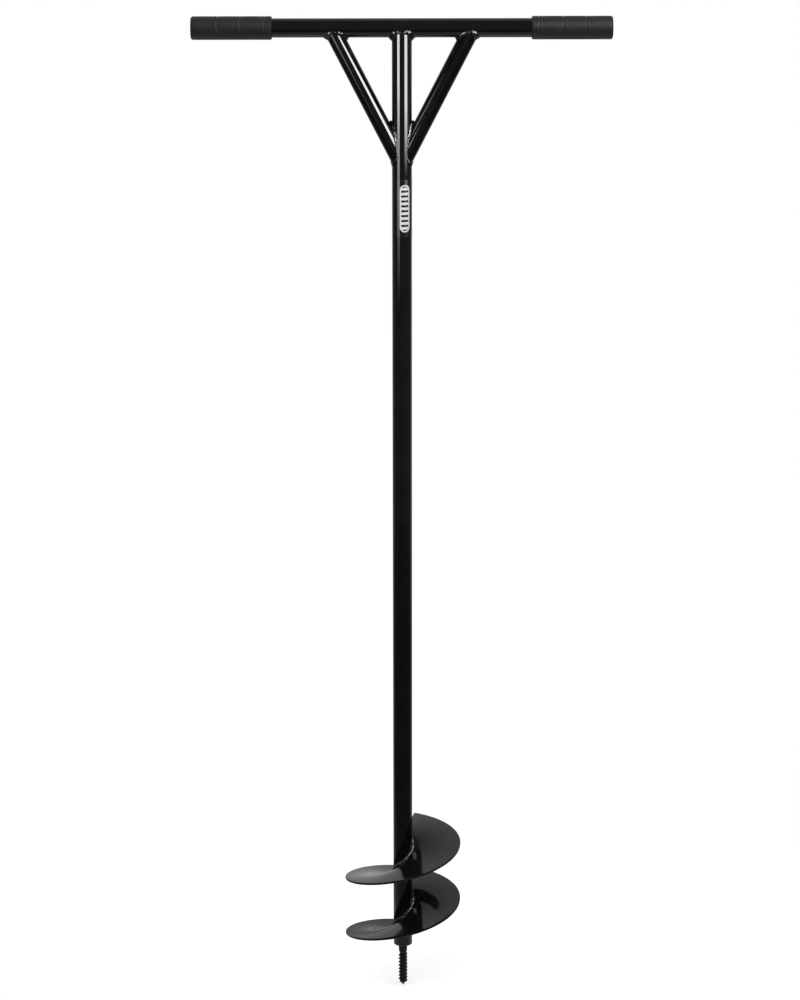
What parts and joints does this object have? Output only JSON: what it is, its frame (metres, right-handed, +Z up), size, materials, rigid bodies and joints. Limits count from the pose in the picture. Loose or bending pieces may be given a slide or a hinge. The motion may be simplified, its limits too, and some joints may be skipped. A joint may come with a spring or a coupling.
{
  "type": "post hole auger",
  "caption": "Hand-turned earth auger: steel shaft with a braced T handle and rubber grips, and right-hand helical blades with a screw point for digging post holes.",
  "frame": {"origin": "tip of the pilot screw, on the shaft's axis, at the lowest point of the auger", "axes": "+Z up the shaft towards the handle, +X along the crossbar towards the right grip"},
  "size_m": [0.515, 0.1501, 1.2709],
  "materials": {
    "shaft_paint": "gloss black paint with a light orange peel",
    "handle_paint": "gloss black paint with a light orange peel",
    "weld_paint": "gloss black paint over a rippled weld bead",
    "blade_paint": "satin black paint on plate",
    "point_paint": "satin black paint, slightly brown",
    "grip_rubber": "matte dark grey moulded rubber",
    "label_film": "film with a plain white and black stripe pattern"
  },
  "bodies": {
    "root": {"shaft_tube": "shaft_paint", "crossbar_tube": "handle_paint", "left_brace_tube": "handle_paint", "right_brace_tube": "handle_paint", "left_grip": "grip_rubber", "right_grip": "grip_rubber", "shaft_crossbar_weld": "weld_paint", "left_brace_crossbar_weld": "weld_paint", "right_brace_crossbar_weld": "weld_paint", "left_brace_shaft_weld": "weld_paint", "right_brace_shaft_weld": "weld_paint", "flight_butt_weld": "weld_paint", "upper_flight_weld": "weld_paint", "lower_flight_weld": "weld_paint", "upper_flight": "blade_paint", "lower_flight": "blade_paint", "point_plug": "point_paint", "pilot_screw": "point_paint", "pilot_screw_weld": "point_paint", "shaft_label": "label_film"}
  },
  "joints": []
}
